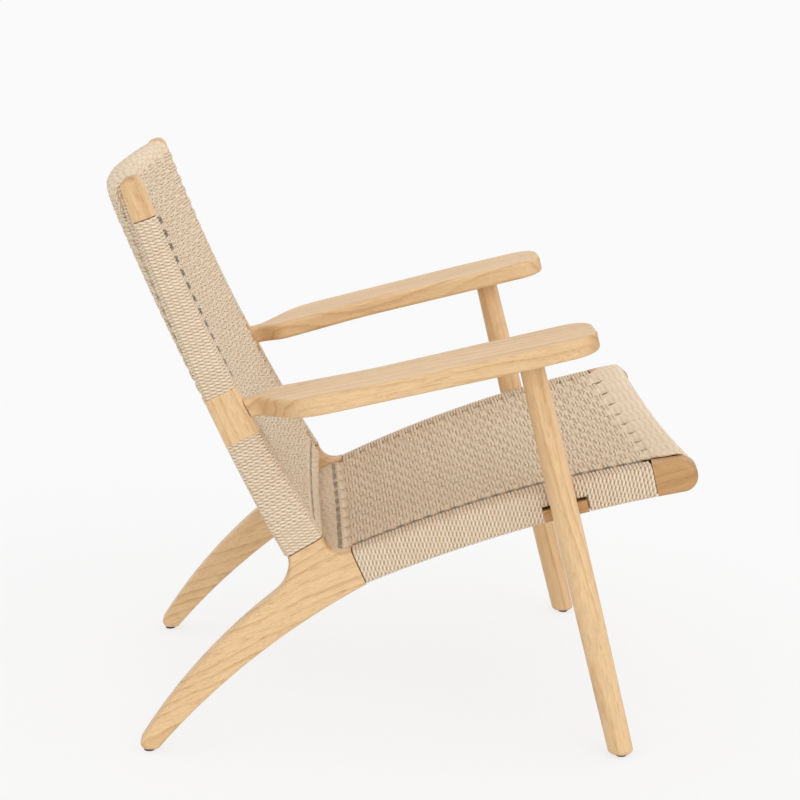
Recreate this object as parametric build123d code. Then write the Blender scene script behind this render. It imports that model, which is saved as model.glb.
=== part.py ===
from build123d import *
import os
from math import asin, cos, degrees, hypot, radians, sin, sqrt, tan

# A low easy chair: sabre back legs, curved seat rails, tapering back posts, paddle arms and turned
# front legs, with woven cord round the seat and the back. Millimetres, +Z up, the sitter faces -Y.
# One side is drawn in its own plane, where y runs to the back and z up, and then mirrored.

# Boards, cord and fits
BOARD = 30.0
WRAP = 4.7
WEAVE = 8.7
GLUE = 0.1
BOARD_EDGE = 6.0
WRAP_CORNER = 9.0
TENON = 12.0

# Seat: the rails rise from the knee, where leg, rail and post meet, to the round front end
SEAT_REAR_WIDTH = 514.0
SEAT_FRONT_WIDTH = 607.0
KNEE_Y = 22.4
KNEE_HEIGHT = 216.5
RAIL_SLOPE = 23.9
RAIL_RADIUS = 1897.0
RAIL_LENGTH = 429.5
RAIL_HEIGHT = 47.0
RAIL_TAPER = 6.5
RAIL_NOSE = 0.48
RAIL_BARE_END = 52.0
RAIL_TENON_LENGTH = 19.0
RAIL_TENON_HEIGHT = 20.0
RAIL_TENON_LIFT = 21.0
CROSS_RAIL_DEPTH = 38.0
CROSS_RAIL_CORNER = 15.0
CROSS_TENON_LENGTH = 16.0
CROSS_TENON_HEIGHT = 14.0
FRONT_RAIL_SETBACK = 4.0
REAR_RAIL_SETBACK = 11.0
FRONT_DISH = 8.0
REAR_DISH = 3.0
SEAT_SAG = 9.0

# Slot in each rail beside the front leg, over the bare bridge that the leg is fixed to
SLOT_LENGTH = 56.0
BRIDGE_HEIGHT = 17.5
SLOT_HEIGHT = 8.0

# Back leg and its knuckle
LEG_FOOT_RUN = 278.0
LEG_FOOT_WIDTH = 28.5
LEG_UNDER_RADIUS = 930.0
LEG_UPPER_RADIUS = 742.0
FOOT_FRONT_CORNER = 8.0
FOOT_REAR_CORNER = 9.0
HEEL_RUN = 17.0
HEEL_DROP = 48.0
HEEL_INSET = 3.5
GLUE_LINE_LIFT = 36.0

# Back post
POST_SET_BACK = 76.9
POST_SET_UP = 48.8
POST_RAKE = 30.0
POST_BEND_RADIUS = 2400.0
POST_LENGTH = 503.0
POST_FOOT_WIDTH = 55.0
POST_TIP_WIDTH = 26.5
POST_TIP_CORNER = 11.0
POST_TENON_LENGTH = 30.0
POST_TENON_WIDTH = 26.0
ARM_BAND_START = 157.5
ARM_BAND_LENGTH = 62.0
POST_BARE_END = 52.0
TOP_RAIL_DEPTH = 40.0
TOP_RAIL_HEIGHT = 40.0
TOP_RAIL_DROP = 22.0
TOP_RAIL_OFFSET = 5.0
TOP_RAIL_BOW = 26.0
BOTTOM_RAIL_DEPTH = 46.0
BOTTOM_RAIL_HEIGHT = 36.0
BOTTOM_RAIL_LIFT = -3.0
BOTTOM_RAIL_BOW = 3.0

# Arm, measured forward from the post and outward from the middle of the post
ARM_LENGTH = 430.0
ARM_THICKNESS = 23.5
ARM_RISE = 12.9
ARM_WAIST = 23.0
ARM_FRONT_REACH = 110.5
ARM_INNER_REACH = 5.5
ARM_NOSE = 36.0
ARM_EDGE = 5.0
ARM_TENON_LENGTH = 24.0
ARM_TENON_HEIGHT = 14.0

# Front leg, turned, fixed to the outer face of the rail
LEG_STATION = 263.5
LEG_RAKE = 13.6
LEG_SPLAY = 1.0
LEG_TOP_DIAMETER = 29.5
LEG_BELLY_DIAMETER = 33.6
LEG_BELLY_SHARE = 0.36
LEG_FOOT_DIAMETER = 31.0
LEG_FOOT_CORNER = 5.0
LEG_HOUSING = 1.6
LEG_TENON_DIAMETER = 20.0
LEG_TENON_LENGTH = 15.0
DOWEL_DIAMETER = 10.0
DOWEL_LENGTH = 34.0
DOWEL_DEPTH = 21.6

# Glides under the feet
GLIDE_THICKNESS = 4.0
GLIDE_DIAMETER = 14.0
GLIDE_CORNER = 1.0
REAR_GLIDE_SETBACK = 11.0
PIN_DIAMETER = 2.4
PIN_LENGTH = 14.0

# Corners of the arm's outline, each outward, backward and with its radius
ARM_OUTER_CORNERS = [
    (ARM_WAIST / 2, -11.5, 20.0),
    (88.5, -64.0, 70.0),
    (ARM_FRONT_REACH, -312.0, 300.0),
]
ARM_INNER_CORNERS = [
    (-3.5, -156.0, 300.0),
    (-31.0, -40.0, 30.0),
    (-ARM_WAIST / 2, -10.0, 25.0),
]

OUTER_X = SEAT_REAR_WIDTH / 2
INNER_X = OUTER_X - BOARD
MIDDLE_X = OUTER_X - BOARD / 2
SPLAY = degrees(asin((SEAT_FRONT_WIDTH - SEAT_REAR_WIDTH) / 2 / RAIL_LENGTH))
WRAPPED_RAIL = RAIL_LENGTH - RAIL_BARE_END
TOP_BARE_START = POST_LENGTH - POST_BARE_END
ARM_BAND_END = ARM_BAND_START + ARM_BAND_LENGTH
ARM_STATION = ARM_BAND_START + ARM_BAND_LENGTH / 2
SPARE = 12.0


# Points of one side, as (y, z)
def rail_angle(along):
    return radians(RAIL_SLOPE) - along / RAIL_RADIUS


def rail_point(along, up):
    """A point of the seat rail: along it from the knee to the front, and up from its underside."""
    turn = rail_angle(along)
    centre_y = KNEE_Y - RAIL_RADIUS * sin(radians(RAIL_SLOPE))
    centre_z = KNEE_HEIGHT - RAIL_RADIUS * cos(radians(RAIL_SLOPE))
    reach = RAIL_RADIUS + up
    return (centre_y + reach * sin(turn), centre_z + reach * cos(turn))


def rail_height(along):
    """Height of the bare rail, which gets lower to the front."""
    return RAIL_HEIGHT - RAIL_TAPER * (along / RAIL_LENGTH) * abs(along / RAIL_LENGTH)


def rail_plane(along):
    """The plane square to the rail at a station: x across the chair, y up, facing the front."""
    y, z = rail_point(along, 0)
    turn = rail_angle(along)
    return Plane(origin=(0, y, z), x_dir=(1, 0, 0), z_dir=(0, -cos(turn), sin(turn)))


def post_angle(along):
    return radians(POST_RAKE) - along / POST_BEND_RADIUS


def post_point(along, back):
    """A point of the back post: along it from its foot, and back from its centre line."""
    start = radians(POST_RAKE)
    lean = post_angle(along)
    y = KNEE_Y + POST_SET_BACK + POST_BEND_RADIUS * (cos(lean) - cos(start))
    z = KNEE_HEIGHT + POST_SET_UP + POST_BEND_RADIUS * (sin(start) - sin(lean))
    return (y + back * cos(lean), z - back * sin(lean))


def post_half_width(along):
    return (POST_FOOT_WIDTH + (POST_TIP_WIDTH - POST_FOOT_WIDTH) * along / POST_LENGTH) / 2


def post_plane(along, back=0.0):
    """The plane square to the post at a station: x across the chair, y to the back, facing up."""
    y, z = post_point(along, back)
    lean = post_angle(along)
    return Plane(origin=(0, y, z), x_dir=(1, 0, 0), z_dir=(0, sin(lean), cos(lean)))


def bowed(start, end, radius, side):
    """An arc of a given radius that bows to the left (side 1) or the right (side -1) of its chord."""
    run = (end[0] - start[0], end[1] - start[1])
    chord = hypot(*run)
    rise = radius - sqrt(radius**2 - chord**2 / 4)
    middle_y = (start[0] + end[0]) / 2 - side * rise * run[1] / chord
    middle_z = (start[1] + end[1]) / 2 + side * rise * run[0] / chord
    return ThreePointArc(start, (middle_y, middle_z), end)


# Small helpers for solids
def board(outline, low_x, high_x):
    """A flat board of one side outline, from one x to another."""
    return extrude(Plane.YZ.offset(low_x) * outline, amount=high_x - low_x, dir=(1, 0, 0))


def outer_arcs(solid):
    """Curved edges of a board's outer face."""
    return solid.faces().sort_by(Axis.X)[-1].edges().filter_by(GeomType.LINE, reverse=True)


def inner_arcs(solid):
    return solid.faces().sort_by(Axis.X)[0].edges().filter_by(GeomType.CIRCLE)


def keep_side(solid, plane, side):
    return split(solid, bisect_by=plane, keep=side)


def splayed(solid):
    """Turn a rail that was drawn straight out to its splay, about the outside of the knee."""
    return Pos(OUTER_X, KNEE_Y) * Rot(0, 0, SPLAY) * Pos(-OUTER_X, -KNEE_Y) * solid


def square_tenon(plane, wide, high, start, end):
    return plane * Pos(0, 0, (start + end) / 2) * Box(wide, high, end - start)


# Seat side rail and its wrap
def level(up):
    return lambda along: up


def under_top(inset):
    return lambda along: rail_height(along) - inset


def rail_outline(start, end, low, high):
    """Side outline of a length of the rail between two heights above its underside."""
    stations = (start, (start + end) / 2, end)
    lower = ThreePointArc(*[rail_point(along, low(along)) for along in stations])
    upper = ThreePointArc(*[rail_point(along, high(along)) for along in reversed(stations)])
    return make_face([lower, Line(lower @ 1, upper @ 0), upper, Line(upper @ 1, lower @ 0)])


def rail_band(start, end, low, high):
    """A length of the rail with room to spare on both sides, to cut with."""
    return board(rail_outline(start, end, low, high), INNER_X - SPARE, OUTER_X + SPARE)


def rail_blank():
    """The whole rail at its bare size, with the round front end."""
    outline = rail_outline(-SPARE, RAIL_LENGTH, level(0), under_top(0))
    nose = outline.vertices().sort_by(Axis.X)[:2]
    blank = board(fillet(nose, rail_height(RAIL_LENGTH) * RAIL_NOSE), INNER_X, OUTER_X)
    return fillet(outer_arcs(blank), WRAP_CORNER)


def rail_core():
    """The rail where cord goes round it: smaller above, below and outside by the wrap."""
    outline = rail_outline(-SPARE, WRAPPED_RAIL, level(WRAP), under_top(WRAP))
    return board(outline, INNER_X, OUTER_X - WRAP)


def slot_span():
    return LEG_STATION - SLOT_LENGTH / 2, LEG_STATION + SLOT_LENGTH / 2


def rail_tenon(slack):
    plane = rail_plane(0) * Pos(MIDDLE_X, RAIL_TENON_LIFT)
    high = RAIL_TENON_HEIGHT + 2 * slack
    return square_tenon(plane, TENON + 2 * slack, high, -RAIL_TENON_LENGTH - slack, slack)


def seat_side_rail():
    blank = rail_blank()
    start, end = slot_span()
    tip = blank & rail_band(WRAPPED_RAIL, RAIL_LENGTH + SPARE, level(-SPARE), under_top(-SPARE))
    bridge = blank & rail_band(start, end, level(-SPARE), level(BRIDGE_HEIGHT))
    slot = rail_band(start, end, level(BRIDGE_HEIGHT), level(BRIDGE_HEIGHT + SLOT_HEIGHT))
    rail = splayed(rail_core() + tip + bridge - slot)
    rail = keep_side(rail, rail_plane(0), Keep.TOP) + rail_tenon(0)
    return rail - front_rail_tenon(GLUE) - leg_dowel(GLUE)


def seat_side_wrap(rail, leg):
    """Cord round the rail; beside the leg it goes through the slot instead of under the bridge."""
    start, end = slot_span()
    under = rail_band(start, end, level(-SPARE), level(BRIDGE_HEIGHT + SLOT_HEIGHT - WRAP))
    length = rail_band(-2 * SPARE, WRAPPED_RAIL, level(-SPARE), under_top(-SPARE))
    wrap = splayed((rail_blank() & length) - under)
    return keep_side(wrap, rail_plane(0), Keep.TOP) - rail - leg


# Cross rails, drawn in a plane square to the piece that carries their ends
def bowed_band(half, low, high, bow):
    """A band across the chair between two depths, its middle moved by the bow from its ends."""
    reach = half + SPARE
    fall = bow - bow * (reach / half) ** 2
    lower = ThreePointArc((-reach, low + fall), (0, low + bow), (reach, low + fall))
    upper = ThreePointArc((reach, high + fall), (0, high + bow), (-reach, high + fall))
    return make_face([lower, Line(lower @ 1, upper @ 0), upper, Line(upper @ 1, lower @ 0)])


def cross_bar(plane, band, thickness, corner):
    """A bowed bar grown from a plane, with its two far edges rounded; forward if thickness is positive."""
    bar = plane * extrude(band, amount=thickness)
    ends = bar.faces().sort_by(Axis(plane.origin, plane.z_dir))
    far = ends[-1] if thickness > 0 else ends[0]
    return fillet(far.edges().filter_by(GeomType.CIRCLE), corner)


def inner_planes():
    """Inner faces of the two splayed seat rails, each facing out of the seat."""
    turn = radians(SPLAY)
    normal = Vector(cos(turn), sin(turn), 0)
    place = Vector(OUTER_X, KNEE_Y, 0) - normal * BOARD
    left = Plane(origin=place, z_dir=normal)
    right = Plane(origin=(-place.X, place.Y, 0), z_dir=(-normal.X, normal.Y, 0))
    return left, right


def between_rails(solid):
    left, right = inner_planes()
    return keep_side(keep_side(solid, left, Keep.BOTTOM), right, Keep.BOTTOM)


def between_boards(solid):
    left = Plane(origin=(INNER_X, 0, 0), z_dir=(1, 0, 0))
    right = Plane(origin=(-INNER_X, 0, 0), z_dir=(-1, 0, 0))
    return keep_side(keep_side(solid, left, Keep.BOTTOM), right, Keep.BOTTOM)


def both_sides(solid):
    return solid + mirror(solid, about=Plane.YZ)


def front_rail_start():
    return RAIL_LENGTH - FRONT_RAIL_SETBACK - CROSS_RAIL_DEPTH


def front_half():
    """Half the seat between the rails at the front rail."""
    return INNER_X + front_rail_start() * tan(radians(SPLAY))


def seat_rail_bar(along, half, dish, growth, inset):
    """A cross rail of the seat: it grows from the plane where the woven fields end."""
    band = bowed_band(half, inset, rail_height(along) - inset, -dish)
    depth = CROSS_RAIL_DEPTH - inset
    return cross_bar(rail_plane(along), band, growth * depth, CROSS_RAIL_CORNER - inset)


def front_rail_bar(inset):
    return between_rails(seat_rail_bar(front_rail_start(), front_half(), FRONT_DISH, 1, inset))


def rear_rail_bar(inset):
    return between_boards(seat_rail_bar(-REAR_RAIL_SETBACK, INNER_X, REAR_DISH, -1, inset))


def seat_tenon(along, slack):
    """Stub tenon at the middle of a seat cross rail, into the inner face of an unsplayed board."""
    y, z = rail_point(along, rail_height(along) / 2)
    size = CROSS_TENON_HEIGHT + 2 * slack
    length = CROSS_TENON_LENGTH + slack + SPARE
    stub = Box(length, TENON + 2 * slack, size, align=(Align.MAX, Align.CENTER, Align.CENTER))
    turn = Rot(-degrees(rail_angle(along)), 0, 0)
    return Pos(INNER_X + CROSS_TENON_LENGTH + slack, y, z) * turn * stub


def front_rail_tenon(slack):
    return splayed(seat_tenon(front_rail_start() + (CROSS_RAIL_DEPTH - WRAP) / 2, slack))


def rear_rail_tenon(slack):
    return seat_tenon(-REAR_RAIL_SETBACK - (CROSS_RAIL_DEPTH - WRAP) / 2, slack)


def seat_front_rail():
    return front_rail_bar(WRAP) + both_sides(front_rail_tenon(0))


def seat_front_wrap(rail):
    return front_rail_bar(0) - rail


def seat_rear_rail():
    return rear_rail_bar(WRAP) + both_sides(rear_rail_tenon(0))


def seat_rear_wrap(rail):
    return rear_rail_bar(0) - rail


# Woven fields of the seat
def seat_section(along, low, dish):
    """The weave across the seat at one station."""
    half = INNER_X + along * tan(radians(SPLAY))
    return rail_plane(along) * bowed_band(half, low, low + WEAVE, -dish)


def seat_weave(low):
    """A field from the rear rail to the front rail; it sags most in the middle."""
    start, end = -REAR_RAIL_SETBACK, front_rail_start()
    stations = [(start, REAR_DISH), ((start + end) / 2, SEAT_SAG), (end, FRONT_DISH)]
    return between_rails(loft([seat_section(along, low(along), dish) for along, dish in stations]))


# Leg and heel block: one blank, cut along the glue line
def knuckle_outline():
    knee = rail_point(0, 0)
    knee_top = rail_point(0, RAIL_HEIGHT)
    post_front = post_point(0, -POST_FOOT_WIDTH / 2)
    post_rear = post_point(0, POST_FOOT_WIDTH / 2 - HEEL_INSET)
    heel = (post_rear[0] + HEEL_RUN, post_rear[1] - HEEL_DROP)
    toe = (KNEE_Y + LEG_FOOT_RUN - LEG_FOOT_WIDTH / 2, GLIDE_THICKNESS)
    back = (KNEE_Y + LEG_FOOT_RUN + LEG_FOOT_WIDTH / 2, GLIDE_THICKNESS)
    under = bowed(toe, knee, LEG_UNDER_RADIUS, -1)
    end = Line(knee, knee_top)
    turn = rail_angle(0)
    throat = TangentArc(knee_top, post_front, tangent=(cos(turn), -sin(turn)))
    seat = Line(post_front, post_rear)
    upper = bowed(heel, back, LEG_UPPER_RADIUS, 1)
    notch = TangentArc(heel, post_rear, tangent=-(upper % 0))
    sole = Line(back, toe)
    outline = make_face([under, end, throat, seat, notch, upper, sole])
    low = outline.vertices().sort_by(Axis.Y)[:2].sort_by(Axis.X)
    outline = fillet(low[0], FOOT_FRONT_CORNER)
    low = outline.vertices().sort_by(Axis.X)[-1]
    return fillet(low, FOOT_REAR_CORNER)


def knuckle_blank():
    blank = board(knuckle_outline(), INNER_X, OUTER_X)
    return fillet(outer_arcs(blank) + inner_arcs(blank), BOARD_EDGE)


def glue_plane():
    y, z = rail_point(0, GLUE_LINE_LIFT)
    turn = rail_angle(0)
    return Plane(origin=(0, y, z), x_dir=(1, 0, 0), z_dir=(0, sin(turn), cos(turn)))


def rear_leg(blank):
    leg = keep_side(blank, glue_plane(), Keep.BOTTOM)
    leg = leg - rail_tenon(GLUE) - rear_rail_tenon(GLUE)
    return leg - glide_pin(*rear_glide_place(), GLUE)


def heel_block(blank):
    return keep_side(blank, glue_plane(), Keep.TOP) - post_tenon(GLUE) - rear_rail_tenon(GLUE)


# Back post and its wrap
def post_edge(along, side, inset=0.0):
    """A point of the post's front edge (side -1) or rear edge (side 1)."""
    return post_point(along, side * (post_half_width(along) - inset))


def post_outline(start, end, inset):
    stations = (start, (start + end) / 2, end)
    front = ThreePointArc(*[post_edge(along, -1, inset) for along in stations])
    rear = ThreePointArc(*[post_edge(along, 1, inset) for along in reversed(stations)])
    return make_face([front, Line(front @ 1, rear @ 0), rear, Line(rear @ 1, front @ 0)])


def arm_band():
    """The bare length that the arm butts on: straight, so that the joint is flat."""
    front = [post_edge(along, -1) for along in (ARM_BAND_START, ARM_BAND_END)]
    rear = [post_edge(along, 1) for along in (ARM_BAND_END, ARM_BAND_START)]
    band = board(make_face(Polyline(*front, *rear, close=True)), INNER_X, OUTER_X)
    outer = band.faces().sort_by(Axis.X)[-1]
    return fillet(outer.edges().sort_by(SortBy.LENGTH)[-2:], WRAP_CORNER)


def arm_butt():
    """Front face of that length, moved forward by the glue gap; faces the front."""
    start, end = [Vector(0, *post_edge(along, -1)) for along in (ARM_BAND_START, ARM_BAND_END)]
    run = (end - start).normalized()
    forward = Vector(0, -run.Z, run.Y)
    return Plane(origin=start + forward * GLUE, z_dir=forward)


def post_blank():
    """The whole post at its bare size."""
    outline = post_outline(0, POST_LENGTH, 0)
    tip = outline.vertices().sort_by(Axis.Y)[-2:]
    blank = board(fillet(tip, POST_TIP_CORNER), INNER_X, OUTER_X)
    return fillet(outer_arcs(blank), WRAP_CORNER)


def post_part(start, end):
    """The bare post between two stations."""
    upper = keep_side(post_blank(), post_plane(start), Keep.TOP)
    return upper if end >= POST_LENGTH else keep_side(upper, post_plane(end), Keep.BOTTOM)


def post_core():
    """The post where cord goes round it: smaller in front, behind and outside by the wrap."""
    return board(post_outline(0, TOP_BARE_START, WRAP), INNER_X, OUTER_X - WRAP)


def post_tenon(slack):
    plane = post_plane(0) * Pos(MIDDLE_X, 0)
    wide = POST_TENON_WIDTH + 2 * slack
    return square_tenon(plane, TENON + 2 * slack, wide, -POST_TENON_LENGTH - slack, slack)


def back_post():
    post = post_core() + arm_band() + post_part(TOP_BARE_START, POST_LENGTH) + post_tenon(0)
    return post - arm_tenon(GLUE) - top_rail_tenon(GLUE) - bottom_rail_tenon(GLUE)


def back_post_wrap():
    return post_part(0, ARM_BAND_START) + post_part(ARM_BAND_END, TOP_BARE_START) - post_core()


def back_rail_bar(plane, depth, bow, height, inset):
    """A cross rail of the back: it grows from the plane where the woven fields end."""
    band = bowed_band(INNER_X, inset - depth / 2, depth / 2 - inset, bow)
    growth = height - inset if height > 0 else height + inset
    return between_boards(cross_bar(plane, band, growth, CROSS_RAIL_CORNER - inset))


def top_rail_plane():
    return post_plane(POST_LENGTH - TOP_RAIL_DROP - TOP_RAIL_HEIGHT / 2, TOP_RAIL_OFFSET)


def top_rail_bar(inset):
    return back_rail_bar(top_rail_plane(), TOP_RAIL_DEPTH, TOP_RAIL_BOW, TOP_RAIL_HEIGHT, inset)


def bottom_rail_plane():
    return post_plane(BOTTOM_RAIL_LIFT + BOTTOM_RAIL_HEIGHT / 2)


def bottom_rail_bar(inset):
    return back_rail_bar(bottom_rail_plane(), BOTTOM_RAIL_DEPTH, BOTTOM_RAIL_BOW, -BOTTOM_RAIL_HEIGHT, inset)


def back_tenon(plane, back, up, slack):
    """Stub tenon of a back cross rail into the inner face of the post."""
    size = CROSS_TENON_HEIGHT + 2 * slack
    length = CROSS_TENON_LENGTH + slack + SPARE
    stub = Box(length, size, TENON + 2 * slack, align=(Align.MAX, Align.CENTER, Align.CENTER))
    return plane * Pos(INNER_X + CROSS_TENON_LENGTH + slack, back, up) * stub


def top_rail_tenon(slack):
    return back_tenon(top_rail_plane(), -TOP_RAIL_OFFSET, (TOP_RAIL_HEIGHT - WRAP) / 2, slack)


def bottom_rail_tenon(slack):
    return back_tenon(bottom_rail_plane(), 0, -TENON / 2 - 2 * GLUE, slack)


def back_top_rail():
    return top_rail_bar(WRAP) + both_sides(top_rail_tenon(0))


def back_top_wrap(rail):
    return top_rail_bar(0) - rail


def back_bottom_rail():
    return bottom_rail_bar(WRAP) + both_sides(bottom_rail_tenon(0))


def back_bottom_wrap(rail):
    return bottom_rail_bar(0) - rail


# Woven fields of the back
def back_weave(bottom_back, top_back):
    """A field from the bottom rail to the top rail, following the bend of the posts between them."""
    bottom = bottom_rail_plane()
    top = top_rail_plane()
    stations = BOTTOM_RAIL_LIFT + BOTTOM_RAIL_HEIGHT / 2, POST_LENGTH - TOP_RAIL_DROP - TOP_RAIL_HEIGHT / 2
    middle = post_plane(sum(stations) / 2, TOP_RAIL_OFFSET / 2)
    fields = [
        (bottom, bottom_back, BOTTOM_RAIL_BOW),
        (middle, (bottom_back + top_back) / 2, (BOTTOM_RAIL_BOW + TOP_RAIL_BOW) / 2),
        (top, top_back, TOP_RAIL_BOW),
    ]
    sections = [plane * bowed_band(INNER_X, back, back + WEAVE, bow) for plane, back, bow in fields]
    return between_boards(loft(sections))


def back_front_weave():
    return back_weave(-BOTTOM_RAIL_DEPTH / 2, -TOP_RAIL_DEPTH / 2)


def back_rear_weave():
    return back_weave(BOTTOM_RAIL_DEPTH / 2 - WEAVE, TOP_RAIL_DEPTH / 2 - WEAVE)


# Arm
def arm_plane():
    """Middle plane of the arm, from the front of the post: x outward, y backward."""
    y, z = post_point(ARM_STATION, -post_half_width(ARM_STATION))
    rise = radians(ARM_RISE)
    return Plane(origin=(MIDDLE_X, y, z), x_dir=(1, 0, 0), z_dir=(0, sin(rise), cos(rise)))


def arm_outline():
    """Outline from above: x outward, y backward; the root goes on into the post."""
    nose = [(ARM_FRONT_REACH, -ARM_LENGTH, ARM_NOSE), (ARM_INNER_REACH, -ARM_LENGTH, ARM_NOSE)]
    corners = ARM_OUTER_CORNERS + nose + ARM_INNER_CORNERS
    root = [(-ARM_WAIST / 2, SPARE), (ARM_WAIST / 2, SPARE)]
    outline = make_face(Polyline(*root, *[(x, y) for x, y, _ in corners], close=True))
    for x, y, radius in corners:
        outline = fillet(outline.vertices().sort_by_distance((x, y, 0))[0], radius)
    return outline


def arm_tenon(slack):
    wide, high = TENON + 2 * slack, ARM_TENON_HEIGHT + 2 * slack
    length = ARM_TENON_LENGTH + slack + SPARE
    stub = Box(wide, length, high, align=(Align.CENTER, Align.MAX, Align.CENTER))
    return arm_plane() * Pos(0, ARM_TENON_LENGTH + slack, 0) * stub


def arm_under():
    """Plane of the arm's underside; faces down."""
    plane = arm_plane()
    down = -plane.z_dir
    return Plane(origin=plane.origin + down * (ARM_THICKNESS / 2), x_dir=(1, 0, 0), z_dir=down)


def armrest():
    slab = extrude(arm_outline(), amount=ARM_THICKNESS / 2, both=True)
    faces = slab.faces().sort_by(Axis.Z)
    slab = fillet(faces[0].edges() + faces[-1].edges(), ARM_EDGE)
    arm = keep_side(arm_plane() * slab, arm_butt(), Keep.TOP)
    return arm + arm_tenon(0) - leg_tenon(GLUE)


# Front leg
def leg_place():
    """Where the leg's axis passes the bridge of the rail, and the axis itself."""
    y, z = rail_point(LEG_STATION, BRIDGE_HEIGHT / 2)
    turn = radians(SPLAY)
    run = KNEE_Y - y
    stand_off = LEG_TOP_DIAMETER / 2 - LEG_HOUSING
    x = OUTER_X + run * sin(turn) + stand_off * cos(turn)
    axis = Vector(tan(radians(LEG_SPLAY)), tan(radians(LEG_RAKE)), 1)
    return Vector(x, KNEE_Y - run * cos(turn) + stand_off * sin(turn), z), axis


def leg_point(height):
    place, axis = leg_place()
    return place + axis * (height - place.Z)


def arm_under_height():
    """Height at which the leg's axis meets the underside of the arm."""
    under = arm_under()
    place, axis = leg_place()
    return place.Z + (under.origin - place).dot(under.z_dir) / axis.dot(under.z_dir)


def leg_frame():
    """Frame of the leg at the floor, its z along the leg."""
    return Plane(origin=leg_point(0), x_dir=(1, 0, 0), z_dir=leg_place()[1])


def leg_length():
    return arm_under_height() * leg_place()[1].length


def leg_tenon(slack):
    radius = LEG_TENON_DIAMETER / 2 + slack
    length = LEG_TENON_LENGTH + slack + SPARE
    pin = Cylinder(radius, length, align=(Align.CENTER, Align.CENTER, Align.MAX))
    return leg_frame() * Pos(0, 0, leg_length() + LEG_TENON_LENGTH + slack) * pin


def leg_blank():
    """The turned leg with its tenon, before the rail is let into it."""
    length = leg_length()
    foot, top = LEG_FOOT_DIAMETER / 2, LEG_TOP_DIAMETER / 2
    belly = (LEG_BELLY_DIAMETER / 2, length * LEG_BELLY_SHARE)
    side = ThreePointArc((foot, -SPARE), belly, (top, length + SPARE))
    profile = make_face(
        [
            side,
            Line((top, length + SPARE), (0, length + SPARE)),
            Line((0, length + SPARE), (0, -SPARE)),
            Line((0, -SPARE), (foot, -SPARE)),
        ]
    )
    leg = leg_frame() * revolve(Plane.XZ * profile, Axis.Z)
    floor = Plane(origin=(0, 0, GLIDE_THICKNESS), z_dir=(0, 0, 1))
    leg = keep_side(leg, floor, Keep.TOP)
    leg = fillet(leg.faces().sort_by(Axis.Z)[0].edges(), LEG_FOOT_CORNER)
    return keep_side(leg, arm_under(), Keep.TOP) + leg_tenon(0)


def front_leg(blank, rail):
    return blank - (rail + leg_dowel(GLUE)) - glide_pin(*front_glide_place(), GLUE)


def leg_dowel(slack):
    """Dowel through the bridge of the rail into the leg, square to the rail's face."""
    y, z = rail_point(LEG_STATION, BRIDGE_HEIGHT / 2)
    middle = OUTER_X - DOWEL_DEPTH + DOWEL_LENGTH / 2
    pin = Cylinder(DOWEL_DIAMETER / 2 + slack, DOWEL_LENGTH + 2 * slack)
    return splayed(Pos(middle, y, z) * Rot(0, 90, 0) * pin)


# Glides
def rear_glide_place():
    return MIDDLE_X, KNEE_Y + LEG_FOOT_RUN - LEG_FOOT_WIDTH / 2 + REAR_GLIDE_SETBACK


def front_glide_place():
    foot = leg_point(GLIDE_THICKNESS)
    return foot.X, foot.Y


def glide(x, y):
    disc = Cylinder(GLIDE_DIAMETER / 2, GLIDE_THICKNESS, align=(Align.CENTER, Align.CENTER, Align.MIN))
    disc = fillet(disc.edges().sort_by(Axis.Z)[0], GLIDE_CORNER)
    return Pos(x, y, 0) * disc - glide_pin(x, y, GLUE)


def glide_pin(x, y, slack):
    low = GLIDE_THICKNESS / 2 - slack
    radius, length = PIN_DIAMETER / 2 + slack, PIN_LENGTH + 2 * slack
    return Pos(x, y, low) * Cylinder(radius, length, align=(Align.CENTER, Align.CENTER, Align.MIN))


# The whole chair
def left_pieces():
    """Pieces of the sitter's left side, the +X side."""
    blank = knuckle_blank()
    turned_leg = leg_blank()
    rail = seat_side_rail()
    return {
        "rear_leg": rear_leg(blank),
        "heel_block": heel_block(blank),
        "back_post": back_post(),
        "seat_side_rail": rail,
        "armrest": armrest(),
        "front_leg": front_leg(turned_leg, rail),
        "rear_glide": glide(*rear_glide_place()),
        "front_glide": glide(*front_glide_place()),
        "seat_side_wrap": seat_side_wrap(rail, turned_leg),
        "back_post_wrap": back_post_wrap(),
    }


def cross_pieces():
    front, rear = seat_front_rail(), seat_rear_rail()
    top, bottom = back_top_rail(), back_bottom_rail()
    pins = glide_pin(*rear_glide_place(), 0) + glide_pin(*front_glide_place(), 0)
    return {
        "seat_front_rail": front,
        "seat_rear_rail": rear,
        "back_top_rail": top,
        "back_bottom_rail": bottom,
        "seat_front_wrap": seat_front_wrap(front),
        "seat_rear_wrap": seat_rear_wrap(rear),
        "seat_top_weave": seat_weave(under_top(WEAVE)),
        "seat_under_weave": seat_weave(level(0)),
        "back_top_wrap": back_top_wrap(top),
        "back_bottom_wrap": back_bottom_wrap(bottom),
        "back_front_weave": back_front_weave(),
        "back_rear_weave": back_rear_weave(),
        "front_leg_dowels": both_sides(leg_dowel(0)),
        "glide_pins": both_sides(pins),
    }


def chair():
    """Every piece by name, with the middle of the chair's outline over the origin."""
    pieces = cross_pieces()
    for name, piece in left_pieces().items():
        pieces[name + "_left"] = piece
        pieces[name + "_right"] = mirror(piece, about=Plane.YZ)
    boxes = [piece.bounding_box() for piece in pieces.values()]
    middle = (min(box.min.Y for box in boxes) + max(box.max.Y for box in boxes)) / 2
    return {name: Pos(0, -middle, 0) * piece for name, piece in pieces.items()}


os.makedirs("parts", exist_ok=True)
for name, piece in chair().items():
    export_step(piece, f"parts/{name}.step")
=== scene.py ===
"""A low easy chair of pale wood with a woven paper cord seat and back, dressed for a studio picture."""

from math import asin, cos, pi, radians, sin, tan

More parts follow.
